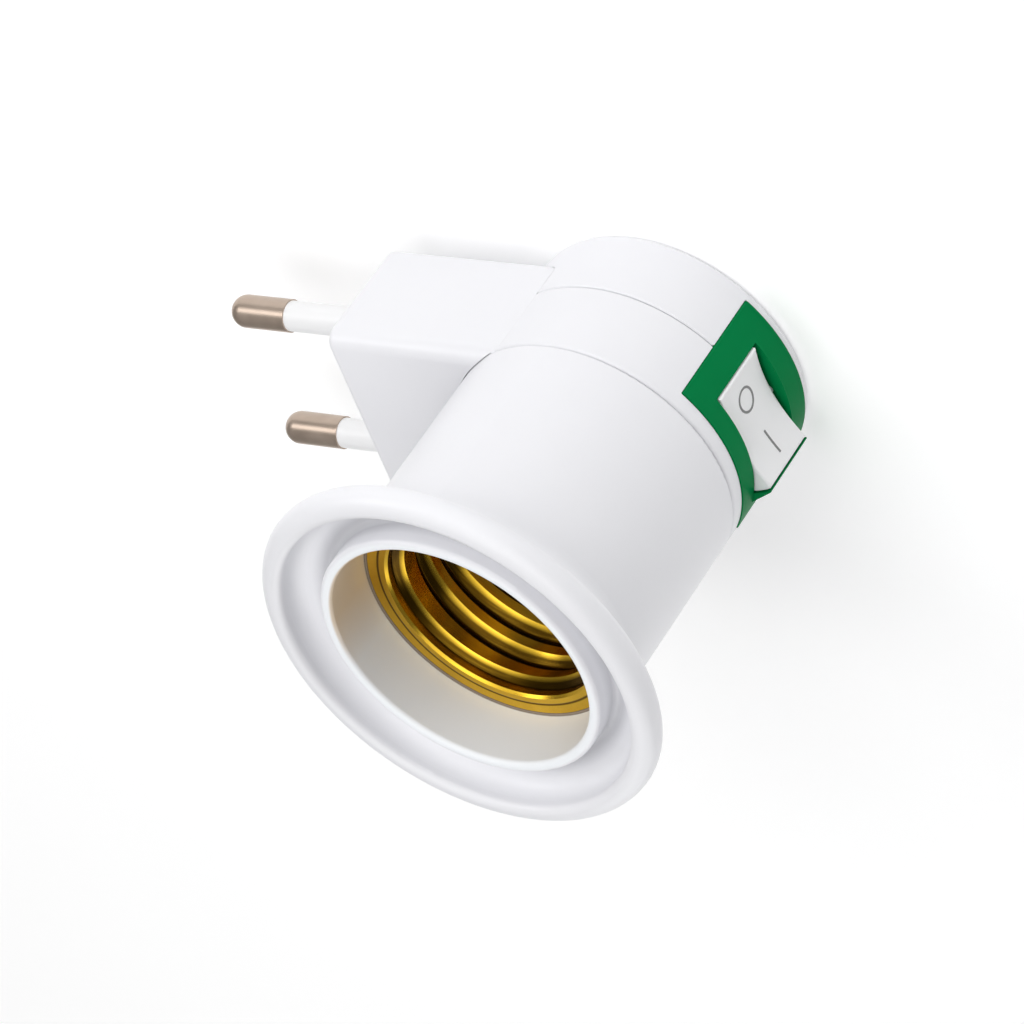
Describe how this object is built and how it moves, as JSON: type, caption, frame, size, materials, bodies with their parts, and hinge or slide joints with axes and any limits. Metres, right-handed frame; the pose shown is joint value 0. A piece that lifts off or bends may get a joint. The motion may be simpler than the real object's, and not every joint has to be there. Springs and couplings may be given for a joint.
{
  "type": "plug-in lamp holder",
  "caption": "White lamp holder that plugs into the wall: flared screw socket, plug arm with two round pins, and a white rocker switch in a green frame on the body.",
  "frame": {"origin": "centre of the flat round face at the rear of the body, opposite the lamp opening", "axes": "+Z along the socket's axis, towards the lamp; +Y the way the plug pins point; the rocker switch faces -Y"},
  "size_m": [0.0494, 0.0775, 0.0532],
  "materials": {
    "white_plastic": "smooth satin moulding",
    "green_plastic": "smooth moulding",
    "grey_plastic": "matt moulding",
    "brass_sheet": "bright pressed sheet",
    "nickel_plate": "nickel plated, polished",
    "steel_wire": "bright zinc plated",
    "brown_cover": "flexible wire cover",
    "blue_cover": "flexible wire cover"
  },
  "bodies": {
    "holder": {"front_shell": "white_plastic", "middle_housing": "white_plastic", "rear_cap": "white_plastic", "switch_frame": "green_plastic", "screw_shell": "brass_sheet", "socket_base": "grey_plastic", "centre_contact": "brass_sheet", "contact_rivet": "brass_sheet", "wired_shell_rivet": "brass_sheet", "plain_shell_rivet": "brass_sheet", "live_pin": "nickel_plate", "neutral_pin": "nickel_plate", "live_pin_sleeve": "white_plastic", "neutral_pin_sleeve": "white_plastic", "pin_carrier": "grey_plastic", "common_terminal": "brass_sheet", "switched_terminal": "brass_sheet", "live_wire": "brown_cover", "switched_wire": "brown_cover", "neutral_wire": "blue_cover", "right_assembly_screw": "steel_wire", "left_assembly_screw": "steel_wire"},
    "rocker_body": {"rocker": "white_plastic", "plunger": "grey_plastic", "plunger_spring": "steel_wire", "contact_bridge": "brass_sheet"}
  },
  "joints": [
    {"name": "rocker_pivot", "type": "hinge", "parent": "holder", "child": "rocker_body", "pos_m": [0, -0.0154, 0.0098], "axis": [0, 0, -1], "range_deg": [0, 20]}
  ]
}
